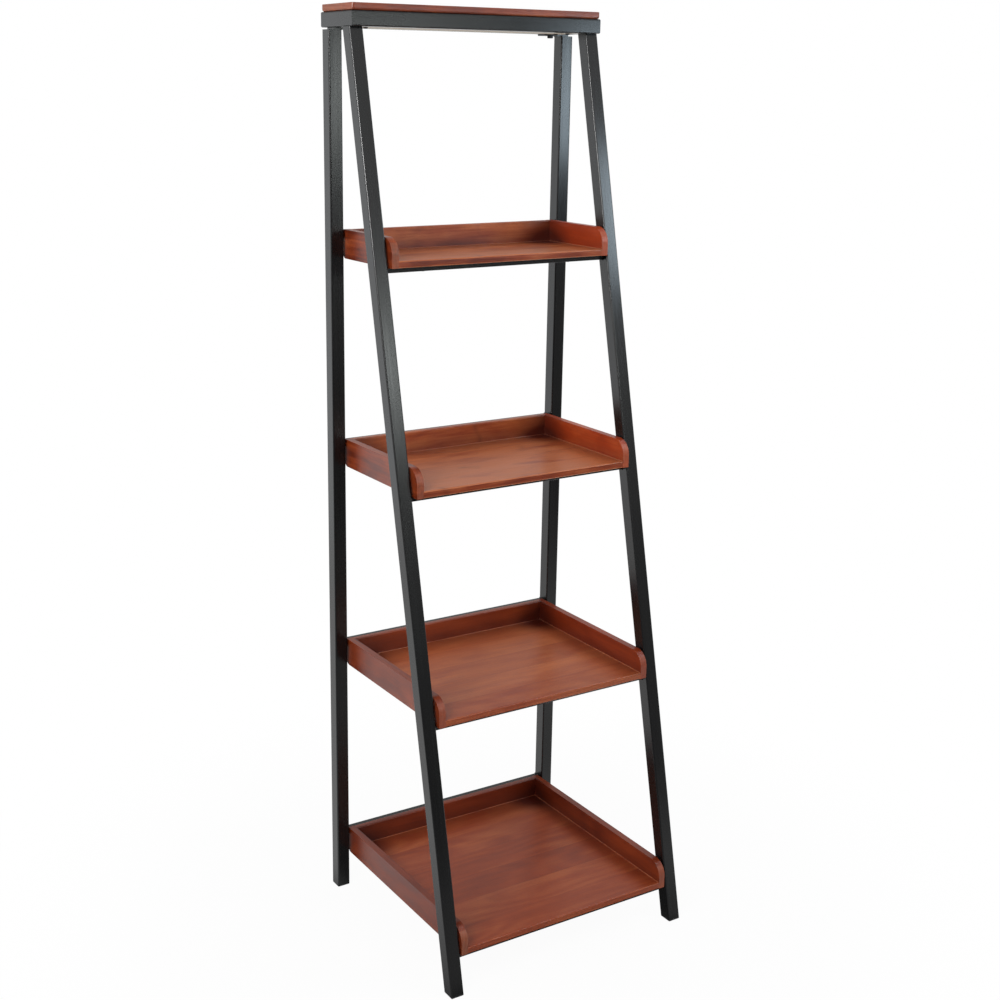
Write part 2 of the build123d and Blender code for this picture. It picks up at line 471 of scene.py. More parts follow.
        pore_mask = pores.mask(self.pore_mask)
        knot_mask = knot.step(*self.knot_edge) * figure * self.knot_strength
        # Painted shade in the inner corners, partly pooled stain.
        shade_and_pool_mask = self._shade_and_pool(graph) * (self.shade_pool_least + blotch * self.shade_pool_blotch)
        seam = (across / STAVE - number - 0.5).distance().step(*self.seam_edge)
        end_colour = graph.blend(chance_b, self.end_tan, self.end_pink)
        layers = (
            # Painted light: redder lit wood on the right sides.
            (fire * (self.fire_least + blotch), self.stain_fire),
            (pore_mask, self.pore),
            (knot_mask, self.stain_dark),
            # Painted corner shade, partly pooled stain, in the dark stain colour.
            (shade_and_pool_mask, self.stain_dark),
            (seam * self.seam_strength, self.stain_dark),
            (end_grain * (self.end_most - ring * self.end_ring), end_colour),
            # Partly wear, partly a painted highlight on the rounded edges.
            (wear * (self.rub_least + cloud.mask(self.rub_cloud)), self.worn_and_lit_edge),
            # Pale glue, partly a painted highlight along the joints.
            (glue * cloud.step(*self.glue_cloud) * blotch.step(*self.glue_blotch), self.glue_and_highlight),
        )
        for share, over in layers:
            colour = graph.blend(share, colour, over)

        roughness = self.sheen + streak.swing(self.streak_sheen) + cloud.swing(self.cloud_sheen)
        roughness = roughness + end_grain * self.end_dulling
        height = fibre * self.fibre_height + (1 - pore_mask) * self.pore_height
        normal = graph.relief(height + seam * self.seam_height, *self.relief)
        return graph.finish(colour, roughness, normal, Specular_IOR_Level=self.specular)

    def _shade_and_pool(self, graph: FinishGraph) -> Signal:
        """Finds the tray's inner corners, which get painted shade and some pooled stain.

        Args:
            graph: The material's tree.

        Returns:
            0 in the open, 1 where two panels meet and more in the corner of three.
        """
        side, back, floor = graph.parts(graph.mark("recess"))
        right = side.step(*self.right_half)
        side = (1 - side.distance()) * self.inner_half_width
        back = back * -1.0
        band = self.face_band
        inside = side.step(*band) * back.step(*band) * floor.step(*band)
        # The painted shade deepens towards the back wall and the right side.
        far_back = back.step(self.shade_pool_reach, 0.0)
        deep = graph.sum_of("MAXIMUM", far_back, right * self.right_deep)
        deep = deep * self.deep_share + (1 - self.deep_share)
        by_floor = floor.step(self.shade_pool_rise, 0.0) * self.floor_share
        beside = side.step(self.shade_pool_width, 0.0) + by_floor
        near = beside * deep + back.step(self.shade_pool_width, 0.0)
        return inside * graph.sum_of("MAXIMUM", near - 1.0, 0.0)


@dataclass(frozen=True)
class RawWood:
    """Bare pale softwood of the core board under the top."""

    name: str = "raw_wood"
    pale: Colour = paint(238, 231, 217)
    dark: Colour = paint(214, 200, 176)
    sways: Pattern = Pattern((3.0, 9.0, 9.0))
    fibres: Pattern = Pattern((20.0, 900.0, 900.0), 3.0)
    ring_pitch: float = 6 * MM
    ring_sway: float = 50 * MM
    ring_share: float = 0.45
    fibre_share: float = 0.6
    roughness: float = 0.68
    fibre_sheen: float = 0.2
    relief: Point = (0.2 * MM, 0.4)

    def build(self) -> Material:
        """Builds the material.

        Returns:
            The material.
        """
        graph = FinishGraph(self.name)
        place = graph.place()
        _, across, depth = graph.parts(place)
        sway = graph.noise(place, self.sways)
        ring = ((across + depth + sway * self.ring_sway) / self.ring_pitch).wave()
        fibre = graph.noise(place, self.fibres)
        figure = self.ring_share * ring + self.fibre_share * fibre
        colour = graph.blend(figure, self.pale, self.dark)
        normal = graph.relief(fibre, *self.relief)
        return graph.finish(colour, self.roughness + fibre.swing(self.fibre_sheen), normal)


class Drawn(Enum):
    """Which way a tube runs, as the pattern of its drawing lines."""

    UPRIGHT = Pattern((210.0, 210.0, 3.0), roughness=0.6)
    LEVEL = Pattern((3.0, 210.0, 210.0), roughness=0.6)


@dataclass(frozen=True)
class PowderCoat:
    """Satin black powder coat, with its fine orange peel and the tube's faint drawing lines."""

    name: str = "black_steel"
    drawn: Drawn = Drawn.UPRIGHT
    lean: float = 0.0
    base: Colour = paint(9, 9, 10)
    rubbed: Colour = paint(19, 20, 21)
    haze: Pattern = Pattern((9.0, 9.0, 4.0), 3.0, 0.55, 0.4)
    specks: Pattern = Pattern((420.0,) * 3, 2.0, 0.6)
    peel: Pattern = Pattern((625.0,) * 3)
    haze_rub: Mask = Mask(0.35, 0.8, 0.4)
    speck_rub: Mask = Mask(0.6, 0.8, 0.2)
    line_rub: Mask = Mask(0.4, 0.75, 0.25)
    roughness: float = 0.26
    haze_sheen: float = 0.12
    speck_sheen: float = 0.05
    line_sheen: float = 0.09
    relief: Point = (0.02 * MM, 0.12)
    specular: float = 0.5

    def build(self) -> Material:
        """Builds the material.

        Returns:
            The material.
        """
        graph = FinishGraph(self.name)
        place = graph.place()
        patterns = (self.haze, self.specks, self.peel)
        haze, speck, peel = (graph.noise(place, pattern) for pattern in patterns)
        x, y, z = graph.parts(place)
        straightened = graph.joined(x, y - z * self.lean, z)
        line = graph.noise(straightened, self.drawn.value)
        mottle = haze.mask(self.haze_rub) + speck.mask(self.speck_rub) + line.mask(self.line_rub)
        colour = graph.blend(mottle, self.base, self.rubbed)
        roughness = self.roughness + haze.swing(self.haze_sheen) + speck.swing(self.speck_sheen)
        roughness = roughness + line.swing(self.line_sheen)
        normal = graph.relief(peel, *self.relief)
        return graph.finish(colour, roughness, normal, Specular_IOR_Level=self.specular)


@dataclass(frozen=True)
class BlackHardware:
    """Black oxide on screws and bolts."""

    name: str = "fasteners"
    base: Colour = paint(30, 30, 32)
    worn: Colour = paint(78, 76, 74)
    patina: Pattern = Pattern((260.0,) * 3, 3.0, 0.6)
    scratches: Pattern = Pattern((1800.0, 300.0, 1800.0))
    wear: Mask = Mask(0.45, 0.75, 0.6)
    metallic: float = 0.6
    roughness: float = 0.42
    patina_sheen: float = 0.2
    relief: Point = (0.03 * MM, 0.3)

    def build(self) -> Material:
        """Builds the material.

        Returns:
            The material.
        """
        graph = FinishGraph(self.name)
        place = graph.place()
        patina, scratch = (graph.noise(place, pattern) for pattern in (self.patina, self.scratches))
        colour = graph.blend(patina.mask(self.wear), self.base, self.worn)
        normal = graph.relief(scratch, *self.relief)
        roughness = self.roughness + patina.swing(self.patina_sheen)
        return graph.finish(colour, roughness, normal, Metallic=self.metallic)


@dataclass(frozen=True)
class MouldedPlastic:
    """Matt black plastic of the end caps, spark-eroded to a fine texture."""

    name: str = "black_plastic"
    base: Colour = paint(24, 24, 25)
    scuffed: Colour = paint(58, 58, 58)
    scuffs: Pattern = Pattern((300.0, 300.0, 700.0), 3.0, 0.6)
    texture: Pattern = Pattern((2600.0,) * 3, 1.0)
    scuff_rise: float = 2.5 * MM
    scuff_edge: Point = (0.45, 0.65)
    scuff_strength: float = 0.7
    roughness: float = 0.55
    scuff_dulling: float = 0.2
    relief: Point = (0.04 * MM, 0.4)

    def build(self) -> Material:
        """Builds the material.

        Returns:
            The material.
        """
        graph = FinishGraph(self.name)
        place = graph.place()
        _, _, height = graph.parts(place)
        scuff, texture = (graph.noise(place, pattern) for pattern in (self.scuffs, self.texture))
        low = height.step(self.scuff_rise, 0.0)
        share = low * scuff.step(*self.scuff_edge) * self.scuff_strength
        colour = graph.blend(share, self.base, self.scuffed)
        normal = graph.relief(texture, *self.relief)
        return graph.finish(colour, self.roughness + low * self.scuff_dulling, normal)


def leaning_coat() -> PowderCoat:
    """Gives the powder coat whose drawing lines follow the leaning front legs.

    Returns:
        The coat.
    """
    low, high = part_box("front_leg_left")
    run = high.y - low.y - LEG_TUBE
    return PowderCoat("black_steel_leaning", Drawn.UPRIGHT, run / (high.z - low.z))


class Finishes:
    """Every material of the shelf, built once."""

    def __init__(self) -> None:
        """Builds the materials."""
        self.stained_wood = StainedWood().build()
        self.raw_wood = RawWood().build()
        self.upright_steel = PowderCoat().build()
        self.leaning_steel = leaning_coat().build()
        self.level_steel = PowderCoat("black_steel_level", Drawn.LEVEL).build()
        self.fasteners = BlackHardware().build()
        self.black_plastic = MouldedPlastic().build()


def dress(name: str, finish: Material) -> None:
    """Gives a carried-over node its finish.

    Args:
        name: The node's name.
        finish: Material for the whole node.
    """
    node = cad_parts[name]
    if not node.material_slots:
        node.data.materials.append(finish)
    for slot in node.material_slots:
        slot.link = "OBJECT"
        slot.material = finish
    LOG.info("finish %s on %s", finish.name, name)


def linked(name: str, data: bpy.types.ID) -> Piece:
    """Makes an object of its data and puts it into the scene.

    Args:
        name: The object's name.
        data: Its mesh, light or camera.

    Returns:
        The object.
    """
    made = bpy.data.objects.new(name, data)
    bpy.context.scene.collection.objects.link(made)
    return made


def shown(name: str, data: bpy.types.Mesh) -> Piece:
    """Makes a mesh a piece that rides on the shelf.

    Args:
        name: The piece's name.
        data: Its finished mesh.

    Returns:
        The piece.
    """
    piece = linked(name, data)
    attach(piece, BODY)
    LOG.info("piece %s: %d faces", name, len(data.polygons))
    return piece


@dataclass
class Group:
    """A group of pieces, which takes its materials from the shelf's finishes."""

    finishes: Finishes


# ------------------------ wooden panels
class Cut(Enum):
    """How a panel is cut from its board: the axes along the grain, across it, and through."""

    FLAT = (0, 1, 2)
    UPRIGHT = (0, 2, 1)
    SIDE = (1, 2, 0)


class Section(Enum):
    """Plane in which a panel's outline is drawn, and the axis along which it runs."""

    ACROSS = (1, 2, 0)
    PLAN = (0, 1, 2)


class Corner(Enum):
    """A corner of an outline, as signs of its two directions."""

    LOW_LOW = (-1, -1)
    HIGH_LOW = (1, -1)
    HIGH_HIGH = (1, 1)
    LOW_HIGH = (-1, 1)


def rounded_outline(
    low: Sequence[float], high: Sequence[float], radii: dict[Corner, float], steps: int = 12
) -> list[Point]:
    """Draws a rectangle with some of its corners rounded.

    Args:
        low: Lower corner.
        high: Upper corner.
        radii: Radius of each corner that isn't square.
        steps: Number of straight pieces that make up the arc of one corner.

    Returns:
        The outline's points, anticlockwise.
    """
    points: list[Point] = []
    for quarter, corner in enumerate(Corner):
        across, up = corner.value
        radius = radii.get(corner, 0.0)
        tip = (high[0] if across > 0 else low[0], high[1] if up > 0 else low[1])
        if not radius:
            points.append(tip)
            continue
        centre = (tip[0] - across * radius, tip[1] - up * radius)
        for step in range(steps + 1):
            turn = math.radians(180 + 90 * quarter + 90 * step / steps)
            run = (radius * math.cos(turn), radius * math.sin(turn))
            points.append((centre[0] + run[0], centre[1] + run[1]))
    return points


@dataclass(frozen=True)
class Recess:
    """The inside of a tray: the middle of its inner back corner line, and half its inner width."""

    corner: Vector
    half_width: float

    def place(self, point: Vector) -> Vector:
        """Places a point by its share of the half width, its run behind the back and its height."""
        run = point - self.corner
        return Vector((run.x / self.half_width, run.y, run.z))


# An edge as square as this can be rounded, and one sharper than the next is shaded as an edge.
SQUARE_EDGE = math.radians(60)
SHARP_EDGE = math.radians(35)
# How squarely a face looks along the grain to show end grain, and how far apart two boards lie
# in the wood's pattern: in staves across it and in metres along it.
END_FACE = 0.7
STAVES_APART = 8
BOARDS_APART = 1.7
NO_RECESS = Vector((9.0, 9.0, -9.0))
BEAD_SECTION: tuple[Point, ...] = (
    (-0.3, -0.3), (1.0, -0.3), (1.0, 0.0), (0.42, 0.18), (0.18, 0.42), (0.0, 1.0), (-0.3, 1.0)
)


@dataclass
class Panel:
    """One wooden panel: an outline with thickness, soft edges and the marks of its board."""

    name: str
    outline: Sequence[Point]
    section: Section
    low: float
    high: float
    cut: Cut
    board_number: int
    edge_steps: int = 4
    first_stave: float = 10 * MM
    tone: float = 0.0
    figure: float = 1.0
    # Painted light: how red the lit wood of a right side is drawn.
    fire: float = 0.0
    # Painted shade: how much darker a floor's front edge face is drawn.
    front_shade_tone: float = 0.0
    end_shows: float = 0.45
    recess: Recess | None = None

    def __post_init__(self) -> None:
        """Extrudes the outline into a closed solid."""
        self.mesh = bmesh.new()
        layers = self.mesh.verts.layers
        self.wear, self.glue = layers.float.new("wear"), layers.float.new("glue")
        self.stain, self.board, self.inside = (
            layers.float_vector.new(name) for name in ("stain", "board", "recess")
        )
        self.end_grain = self.mesh.faces.layers.float.new("end_grain")
        ends = (self.low, self.high)
        self._prism(*([self._corner(point, run) for point in self.outline] for run in ends))

    def _corner(self, point: Point, run: float) -> bmesh.types.BMVert:
        """Makes one vertex from a point of the outline and its place along the panel.

        Args:
            point: The point of the outline.
            run: The place along the panel.

        Returns:
            The vertex.
        """
        place = [0.0, 0.0, 0.0]
        for axis, value in zip(self.section.value, (*point, run)):
            place[axis] = value
        return self.mesh.verts.new(place)

    def _prism(self, near: list[bmesh.types.BMVert], far: list[bmesh.types.BMVert]) -> None:
        """Closes two rings of vertices into a solid.

        Args:
            near: The vertices round one end.
            far: Those round the other end, in the same order.
        """
        faces = [self.mesh.faces.new(near), self.mesh.faces.new(list(reversed(far)))]
        for index in range(len(near)):
            after = (index + 1) % len(near)
            faces.append(self.mesh.faces.new((near[after], near[index], far[index], far[after])))
        bmesh.ops.recalc_face_normals(self.mesh, faces=faces)

    def soften(self, wanted: Callable[[Vector, Vector], bool], radius: float = EDGE_RADIUS) -> None:
        """Rounds the panel's edges where they can be touched, and marks them as rubbed
        and lit: a lighter colour that is partly wear and partly a painted highlight.

        Args:
            wanted: Says from its two ends whether an edge is rounded.
            radius: Radius of the rounding.
        """
        sharp = (edge for edge in self.mesh.edges if edge.calc_face_angle(0.0) > SQUARE_EDGE)
        edges = [edge for edge in sharp if wanted(*(vertex.co for vertex in edge.verts))]
        made = bmesh.ops.bevel(
            self.mesh,
            geom=edges,
            offset=radius,
            offset_type="OFFSET",
            segments=self.edge_steps,
            profile=0.5,
            affect="EDGES",
            clamp_overlap=True,
        )
        rounded = set(made["faces"])
        for face in rounded:
            for vertex in face.verts:
                if rounded.issuperset(vertex.link_faces):
                    vertex[self.wear] = 1.0

    def add_bead(self, start: Vector, end: Vector, wall: Vector, size: float, show: float) -> None:
        """Lays a thin bead of glue into an inner corner of the joint.

        Args:
            start: One end of the corner line.
            end: The other end.
            wall: Direction from the corner line away from the wall that stands on the panel.
            size: How far the bead reaches up the wall and out over the panel.
            show: How plainly its paler colour shows, up to 1: pale glue, partly a painted
                highlight.
        """
        section = [(wall * out + UP * rise) * size for out, rise in BEAD_SECTION]
        rings = [[self.mesh.verts.new(place + run) for run in section] for place in (start, end)]
        self._prism(*rings)
        for vertex in rings[0] + rings[1]:
            vertex[self.glue] = show

    def finish(self, material: Material) -> Piece:
        """Writes the board marks and makes the object.

        Args:
            material: The panel's finish.

        Returns:
            The panel's object, riding on the shelf and standing for the node of its name.
        """
        along, across, through = self.cut.value
        start = min(vertex.co[across] for vertex in self.mesh.verts)
        shift = self.board_number * STAVES_APART * STAVE + self.first_stave - start
        front_y = min(vertex.co.y for vertex in self.mesh.verts)
        for vertex in self.mesh.verts:
            place = vertex.co
            run = place[along] + self.board_number * BOARDS_APART
            vertex[self.board] = Vector((run, place[across] + shift, place[through]))
            # Painted shade on the floor's front edge face.
            tone = self.tone + (self.front_shade_tone if place.y < front_y + TOUCH else 0.0)
            vertex[self.stain] = Vector((tone, self.figure, self.fire))
            vertex[self.inside] = self.recess.place(place) if self.recess else NO_RECESS
        for face in self.mesh.faces:
            face.smooth = True
            face[self.end_grain] = self.end_shows if abs(face.normal[along]) > END_FACE else 0.0
        data = bpy.data.meshes.new(self.name)
        self.mesh.to_mesh(data)
        self.mesh.free()
        data.set_sharp_from_angle(angle=SHARP_EDGE)
        data.materials.append(material)
        piece = linked(f"{self.name}_wood", data)
        piece.modifiers.new("even_normals", "WEIGHTED_NORMAL").keep_sharp = True
        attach(piece, BODY)
        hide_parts(self.name)
        LOG.info("panel %s: %d faces", piece.name, len(data.polygons))
        return piece


def runs_across(first: Vector, second: Vector) -> bool:
    """Says whether an edge runs along X."""
    return abs(first.x - second.x) > MM


@dataclass(frozen=True)
class TrayStainAndLight:
    """How one tray's boards look: their stain, and painted light and shade on two of them.

    The first four are the tones of its panels, front is painted shade that darkens the floor's
    front edge, and the redness of its right side is painted light on the lit wood.
    """

    left: float
    right: float
    back: float
    floor: float
    # Painted shade on the floor's front edge.
    front: float
    fire: float
    figure: float
    glue: float


# Tones by board, with painted shade on the floor fronts and painted light on the right sides.
TRAY_STAINS_AND_LIGHT = {
    1: TrayStainAndLight(-0.1, -0.04, -0.04, 0.32, front=-0.5, fire=0.75, figure=1.3, glue=0.2),
    2: TrayStainAndLight(-0.06, -0.04, 0.14, 0.3, front=-0.45, fire=0.6, figure=1.2, glue=0.2),
    3: TrayStainAndLight(-0.18, -0.14, 0.0, 0.14, front=0.0, fire=0.2, figure=0.5, glue=0.65),
    4: TrayStainAndLight(-0.08, -0.12, -0.1, 0.02, front=-0.04, fire=0.0, figure=0.42, glue=0.65),
}


@dataclass
class Tray(Group):
    """One open-fronted tray: two shaped sides, a back and a floor, glued together."""

    number: int
    front_radius: float = 28 * MM
    heel_radius: float = 10 * MM
    bead: float = 0.8 * MM

    def __post_init__(self) -> None:
        """Reads the tray's places from the frame."""
        parts = ("left_side", "right_side", "back", "floor")
        self.boxes = {part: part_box(f"tray_{self.number}_{part}") for part in parts}
        self.back_face = self.boxes["back"][0].y
        self.floor_top = self.boxes["floor"][1].z
        half_width = self.boxes["back"][1].x
        self.recess = Recess(Vector((0.0, self.back_face, self.floor_top)), half_width)
        self.stain = TRAY_STAINS_AND_LIGHT[self.number]

    def build(self) -> None:
        """Builds the tray's four panels."""
        self.side("left_side", self.stain.left, 0.0)
        # The right side gets painted light, a redder colour of lit wood.
        self.side("right_side", self.stain.right, self.stain.fire)
        self.back()
        self.floor()

    def panel(self, part: str, cut: Cut, radii: dict[Corner, float], **looks: float) -> Panel:
        """Starts one panel in its place.

        Args:
            part: The panel's part of its node's name.
            cut: How it is cut from its board.
            radii: Radius of each rounded corner of its outline.
            **looks: What sets its stain apart.

        Returns:
            The panel, with square edges.
        """
        low, high = self.boxes[part]
        outline = rounded_outline((low.y, low.z), (high.y, high.z), radii)
        if cut is Cut.SIDE:
            outline.append((low.y, self.floor_top))
        board = self.number * len(self.boxes) + list(self.boxes).index(part)
        place = (outline, Section.ACROSS, low.x, high.x, cut, board)
        looks = {"figure": self.stain.figure, "recess": self.recess, **looks}
        return Panel(f"tray_{self.number}_{part}", *place, **looks)

    def side(self, part: str, tone: float, fire: float) -> None:
        """Builds a side panel with its large front radius and its small heel.

        Args:
            part: Which side it is.
            tone: Tone of its stain.
            fire: Painted light, the redness of lit wood on this side.
        """
        low, high = self.boxes[part]
        radii = {Corner.LOW_HIGH: self.front_radius, Corner.HIGH_LOW: self.heel_radius}
        panel = self.panel(part, Cut.SIDE, radii, tone=tone, fire=fire)
        outer_x = max(low.x, high.x, key=abs)

        def exposed(first: Vector, second: Vector) -> bool:
            """Picks the outer edges but the back one, and the inner ones that nothing covers.

            Args:
                first: One end of the edge.
                second: The other end.

            Returns:
                Whether the edge is rounded.
            """
            if runs_across(first, second) or min(first.y, second.y) > high.y - MM:
                return False
            if abs(first.x - outer_x) < MM:
                return True
            above = min(first.z, second.z) >= self.floor_top - TOUCH
            return above and min(first.y, second.y) < self.back_face - MM

        panel.soften(exposed)
        panel.finish(self.finishes.stained_wood)

    def back(self) -> None:
        """Builds the back panel with its rounded heel and soft upper edges."""
        limit = self.boxes["back"][1].z - MM
        radii = {Corner.HIGH_LOW: self.heel_radius}
        panel = self.panel("back", Cut.UPRIGHT, radii, tone=self.stain.back)
        panel.soften(lambda *ends: min(end.z for end in ends) > limit and runs_across(*ends))
        panel.finish(self.finishes.stained_wood)

    def floor(self) -> None:
        """Builds the floor panel with its soft front edge and the glue beads round it."""
        low, high = self.boxes["floor"]
        # The floor's front edge gets painted shade.
        tones = {"tone": self.stain.floor, "front_shade_tone": self.stain.front}
        panel = self.panel("floor", Cut.FLAT, {}, **tones)
        limit = low.y + MM
        panel.soften(lambda *ends: max(end.y for end in ends) < limit and runs_across(*ends))
        front_y = low.y + EDGE_RADIUS
        back_left, back_right = (Vector((x, high.y, high.z)) for x in (low.x, high.x))
        front_left, front_right = (Vector((x, front_y, high.z)) for x in (low.x, high.x))
        for start, end, wall in (
            (back_left, back_right, (0, -1, 0)),
            (front_left, back_left, (1, 0, 0)),
            (front_right, back_right, (-1, 0, 0)),
        ):
            panel.add_bead(start, end, Vector(wall), self.bead, self.stain.glue)
        panel.finish(self.finishes.stained_wood)


@dataclass
class Top(Group):
    """The wooden top, the core board under it and the welded tube frame round the core."""

    corner_radius: float = 5 * MM
    upper_edge: float = 1 * MM
    lower_edge: float = 4 * MM
    board_number: int = 40
    first_stave: float = 36 * MM
    tone: float = -0.14
    end_shows: float = 1.0

    def build(self) -> None:
        """Builds the top board and dresses the core and the rails."""
        low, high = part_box("top_board")
        radii = dict.fromkeys(Corner, self.corner_radius)
        shape = (rounded_outline(low.xy, high.xy, radii), Section.PLAN, low.z, high.z, Cut.FLAT)
        looks = {"first_stave": self.first_stave, "tone": self.tone, "end_shows": self.end_shows}
        panel = Panel("top_board", *shape, self.board_number, **looks)
        panel.soften(lambda *ends: max(end.z for end in ends) < low.z + TOUCH, self.lower_edge)
        panel.soften(lambda *ends: min(end.z for end in ends) > high.z - TOUCH, self.upper_edge)
        dress("top_core", self.finishes.raw_wood)
        for place in ("front", "back", "left", "right"):
            dress(f"top_{place}_rail", self.finishes.level_steel)
        panel.finish(self.finishes.stained_wood)


# ------------------------ steel
@dataclass
class Ladders(Group):
    """The four legs with their end caps, the cross bars, the brackets and their bolts."""

    def build(self) -> None:
        """Dresses the carried-over nodes."""
        level = self.finishes.level_steel
        legs = {"front": self.finishes.leaning_steel, "rear": self.finishes.upright_steel}
        for side in SIDES:
            for place, steel in legs.items():
                dress(f"{place}_leg_{side}", steel)
                dress(f"{place}_foot_{side}", self.finishes.black_plastic)
            dress(f"top_bracket_{side}", level)
        for number in TRAYS:
            for place in legs:
                dress(f"{place}_bar_{number}", level)
        dress("bracket_bolts", self.finishes.fasteners)


# ------------------------ repeated parts
class GeometryGraph(Graph):
    """A Geometry Nodes tree with named inputs, which ends in Realize Instances and Set Material."""

    def __init__(self, name: str) -> None:
        """Makes an empty tree with a mesh going in and a mesh coming out."""
        tree = bpy.data.node_groups.new(name, "GeometryNodeTree")
        super().__init__(tree)
        for way in ("INPUT", "OUTPUT"):
            tree.interface.new_socket("Geometry", in_out=way, socket_type="NodeSocketGeometry")
        self.entry = self.node("NodeGroupInput")
        self.identifiers: dict[str, str] = {}

    def value(self, name: str, kind: str = "NodeSocketFloat") -> Signal:
        """Adds a named input.

        Args:
            name: The input's name.
            kind: The input's type.

        Returns:
            Its value inside the tree.
        """
        made = self.tree.interface.new_socket(name, in_out="INPUT", socket_type=kind)
        self.identifiers[name] = made.identifier
        return Signal(self, self.entry.outputs[name])

    def close(self, geometry: Socket) -> None:
        """Ends the tree in plain meshes with a material.

        Args:
            geometry: What the tree has made.
        """
        real = self.node("GeometryNodeRealizeInstances", {0: geometry})
        finish = self.value("Finish", "NodeSocketMaterial")
        feeds = {"Geometry": real.outputs[0], "Material": finish}
        coated = self.node("GeometryNodeSetMaterial", feeds)
        self.node("NodeGroupOutput", {0: coated.outputs[0]})

    def apply(self, data: bpy.types.Mesh, values: dict[str, object]) -> bpy.types.Mesh:
        """Runs the tree on a mesh and takes the result as a plain mesh.

        Args:
            data: The mesh that goes in.
            values: Value of each named input.

        Returns:
            The finished mesh.
        """
        carrier = linked(data.name, data)
        modifier = carrier.modifiers.new(self.tree.name, "NODES")
        modifier.node_group = self.tree
        for name, value in values.items():
            modifier[self.identifiers[name]] = value
        depsgraph = bpy.context.evaluated_depsgraph_get()
        result = carrier.evaluated_get(depsgraph)
        made = bpy.data.meshes.new_from_object(result, depsgraph=depsgraph)
        carrier.modifiers.remove(modifier)
        bpy.data.objects.remove(carrier)
        return made


Seat = tuple[Vector, Vector]
HEAD_SIZES = ("Head Width", "Head Height", "Recess", "Recess Width", "Recess Depth")
BEAD_SIZES = ("Bead Width", "Point Pitch", "Ripple Pitch", "Ripple Height")


@dataclass
class WoodScrews(Group):
    """Cross-head screws: sunk flush into the bars, and with pan heads in the core board."""

    pan_width: float = 8.5 * MM
    pan_height: float = 2.3 * MM
    pan_recess: float = 1.3 * MM
    sunk_width: float = 7.0 * MM
    sunk_height: float = 0.5 * MM
    sunk_recess: float = 0.4 * MM
    recess: float = 4.6 * MM
    recess_width: float = 1.1 * MM
    taper: float = 0.72
    head_sides: int = 24
    front_bar_x: float = 150 * MM
    rear_bar_x: float = 165 * MM
    core_x: float = 205 * MM
    core_inset: float = 12 * MM
    seed: int = 7

    def bar_seats(self) -> list[Seat]:
        """Lists where each screw of the bars sits and which way its head faces.

        Returns:
            The seats.
        """
        seats = []
        for number in TRAYS:
            low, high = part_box(f"front_bar_{number}")
            for x in (-self.front_bar_x, self.front_bar_x):
                seats.append((Vector((x, (low.y + high.y) / 2, low.z)), DOWN))
            low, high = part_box(f"rear_bar_{number}")
            for x in (-self.rear_bar_x, self.rear_bar_x):
                seats.append((Vector((x, high.y, (low.z + high.z) / 2)), Vector((0, 1, 0))))
        return seats

    def core_seats(self) -> list[Seat]:
        """Lists the same for the screws of the core board.

        Returns:
            The seats.
        """
        low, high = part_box("top_core")
        rows = (low.y + self.core_inset, high.y - self.core_inset)
        return [(Vector((x, y, low.z)), DOWN) for y in rows for x in (-self.core_x, self.core_x)]

    def tree(self) -> GeometryGraph:
        """Builds the tree that puts a screw head on each point.

        Returns:
            The tree.
        """
        graph = GeometryGraph("screw_heads")
        width, height, recess, recess_width, recess_depth = map(graph.value, HEAD_SIZES)
        seed = graph.value("Seed", "NodeSocketInt")
        radius = width * 0.5
        ends = {"Radius Top": radius * self.taper, "Radius Bottom": radius}
        cone = {"Vertices": self.head_sides, **ends, "Depth": height}
        head = graph.node("GeometryNodeMeshCone", cone)
        whole = {"Mesh 1": head.outputs[0]}
        cut = graph.node("GeometryNodeMeshBoolean", whole, operation="DIFFERENCE")
        for x, y in ((recess, recess_width), (recess_width, recess)):
            size = {"Size": graph.joined(x, y, recess_depth * 2)}
            arm = graph.node("GeometryNodeMeshCube", size)
            lift = {"Geometry": arm.outputs[0], "Translation": graph.joined(0.0, 0.0, height)}
            raised = graph.node("GeometryNodeTransform", lift)
            graph.tree.links.new(raised.outputs[0], cut.inputs["Mesh 2"])
        feeds = {"Name": "aim"}
        aim = graph.node("GeometryNodeInputNamedAttribute", feeds, data_type="FLOAT_VECTOR")
        feeds = {"Vector": aim.outputs[0]}
        turn = graph.node("FunctionNodeAlignRotationToVector", feeds, axis="Z")
        feeds = {"Points": graph.entry.outputs["Geometry"], "Instance": cut.outputs[0]}
        feeds["Rotation"] = turn.outputs[0]
        placed = graph.node("GeometryNodeInstanceOnPoints", feeds)
        spin = graph.node("FunctionNodeRandomValue", {"Seed": seed}, data_type="FLOAT")
        angle = graph.joined(0.0, 0.0, Signal(graph, spin.outputs[1]) * math.tau)
        feeds = {"Instances": placed.outputs[0], "Rotation": angle}
        spun = graph.node("GeometryNodeRotateInstances", feeds)
        graph.close(spun.outputs[0])
        return graph

    def build(self) -> None:
        """Builds the screw heads, one piece for each kind."""
        graph = self.tree()
        kinds = {
            "bar_screws": (self.bar_seats(), self.sunk_width, self.sunk_height, self.sunk_recess),
            "core_screws": (self.core_seats(), self.pan_width, self.pan_height, self.pan_recess),
        }
        for name, (seats, width, height, recess_depth) in kinds.items():
            data = bpy.data.meshes.new(f"{name}_seats")
            data.from_pydata([seat for seat, _ in seats], [], [])
            aims = data.attributes.new("aim", "FLOAT_VECTOR", "POINT")
            for mark, (_, aim) in zip(aims.data, seats):
                mark.vector = aim
            sizes = (width, height, self.recess, self.recess_width, recess_depth)
            values = {"Seed": self.seed, "Finish": self.finishes.fasteners}
            made = graph.apply(data, {**dict(zip(HEAD_SIZES, sizes)), **values})
            shown(name, made)


